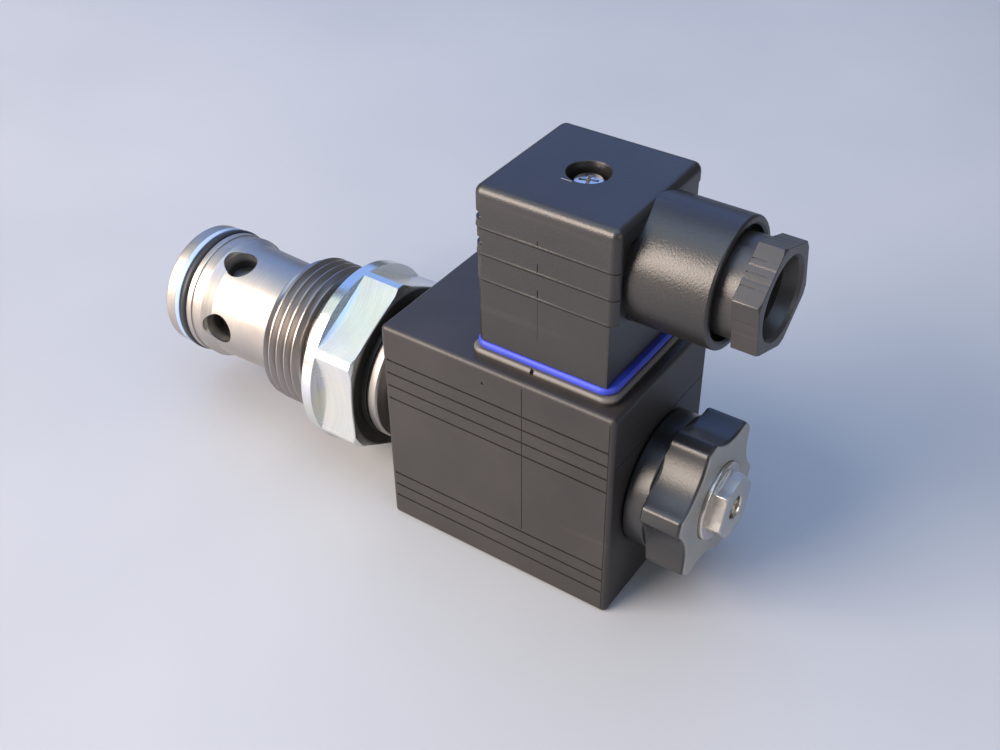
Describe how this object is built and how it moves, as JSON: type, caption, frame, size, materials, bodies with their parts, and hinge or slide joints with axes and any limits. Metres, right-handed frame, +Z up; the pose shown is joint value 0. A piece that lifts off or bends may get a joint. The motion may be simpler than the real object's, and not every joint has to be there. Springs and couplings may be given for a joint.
{
  "type": "solenoid cartridge valve",
  "caption": "Solenoid-operated screw-in hydraulic cartridge valve with square coil, plug connector, cable gland, lobed coil nut and manual override.",
  "frame": {"origin": "on the cartridge axis, in the plane of the round collar's seat face", "axes": "+X along the cartridge axis from the nose to the knob, +Z up towards the plug connector; the part lies on the coil's bottom face, 23.6 mm below the axis"},
  "size_m": [0.1395, 0.0406, 0.0845],
  "materials": {
    "turned_steel": "fine turned",
    "zinc_steel": "zinc plated",
    "nickel_steel": "nickel plated",
    "core_steel": "ground",
    "spring_steel": "drawn wire",
    "black_rubber": "matte",
    "backup_ptfe": "smooth",
    "coil_plastic": "moulded, fine texture",
    "housing_plastic": "moulded, fine texture",
    "knob_plastic": "moulded, glossy",
    "blue_rubber": "smooth",
    "insulator": "moulded",
    "copper": "enamelled wire",
    "brass": "turned",
    "tinned_brass": "tinned"
  },
  "bodies": {
    "cartridge": {"valve_sleeve": "turned_steel", "nose_backup_ring": "backup_ptfe", "nose_oring": "black_rubber", "nose_seat": "turned_steel", "return_spring": "spring_steel", "hex_adapter": "zinc_steel", "body_oring": "black_rubber", "collar_oring": "black_rubber", "collar_ring": "zinc_steel", "armature_tube": "nickel_steel", "pole_piece": "core_steel", "end_plug": "nickel_steel", "end_washer": "nickel_steel", "plug_oring": "black_rubber", "override_oring": "black_rubber"},
    "plunger": {"main_spool": "core_steel", "push_pin": "core_steel", "armature": "core_steel"},
    "override": {"override_pin": "nickel_steel"},
    "coil": {"coil_housing": "coil_plastic", "flux_tube": "core_steel", "front_plate": "core_steel", "rear_plate": "core_steel", "bobbin": "insulator", "winding": "copper", "coil_front_oring": "black_rubber", "coil_rear_oring": "black_rubber", "terminal_blades": "tinned_brass", "earth_blade": "tinned_brass", "centre_bush": "brass"},
    "nut_seal": {"nut_oring": "black_rubber"},
    "coil_nut_body": {"coil_nut": "knob_plastic", "nut_bush": "brass"},
    "connector": {"connector_housing": "housing_plastic", "connector_gasket": "blue_rubber", "terminal_carrier": "insulator", "contact_clamps": "brass", "clamp_screws": "nickel_steel", "gland_grommet": "black_rubber", "screw_oring": "black_rubber"},
    "centre_screw_body": {"centre_screw": "nickel_steel"},
    "gland_pressure": {"gland_washer": "nickel_steel"},
    "gland_nut_body": {"gland_nut": "housing_plastic"}
  },
  "joints": [
    {"name": "plunger_stroke", "type": "slide", "parent": "cartridge", "child": "plunger", "axis": [-1, 0, 0], "range_m": [0, 0.003], "stiffness_N_per_m": 2500, "springref_m": -0.002, "deforming": ["return_spring"]},
    {"name": "override_press", "type": "slide", "parent": "cartridge", "child": "override", "axis": [-1, 0, 0], "range_m": [0, 0.003]},
    {"name": "coil_turn", "type": "hinge", "parent": "cartridge", "child": "coil", "pos_m": [0.04745, 0, 0], "axis": [1, 0, 0], "continuous": true},
    {"name": "nut_advance", "type": "slide", "parent": "cartridge", "child": "nut_seal", "axis": [1, 0, 0], "range_m": [0, 0.0075]},
    {"name": "nut_turn", "type": "hinge", "parent": "nut_seal", "child": "coil_nut_body", "pos_m": [0.08, 0, 0], "axis": [1, 0, 0], "range_deg": [0, 1800]},
    {"name": "connector_lift", "type": "slide", "parent": "coil", "child": "connector", "axis": [0, 0, 1], "range_m": [0, 0.005]},
    {"name": "screw_turn", "type": "hinge", "parent": "connector", "child": "centre_screw_body", "pos_m": [0.056, 0, 0.058], "axis": [0, 0, 1], "range_deg": [0, 3600]},
    {"name": "gland_advance", "type": "slide", "parent": "connector", "child": "gland_pressure", "axis": [1, 0, 0], "range_m": [0, 0.0045]},
    {"name": "gland_turn", "type": "hinge", "parent": "gland_pressure", "child": "gland_nut_body", "pos_m": [0.09, 0, 0.0489], "axis": [1, 0, 0], "range_deg": [0, 1080]}
  ],
  "couplings": [
    {"joint": "override_press", "follows": "plunger_stroke", "ratio": 1},
    {"joint": "nut_advance", "follows": "nut_turn", "m_per_rad": 0.00023873},
    {"joint": "screw_turn", "follows": "connector_lift", "rad_per_m": 12566},
    {"joint": "gland_advance", "follows": "gland_turn", "m_per_rad": 0.00023873}
  ]
}
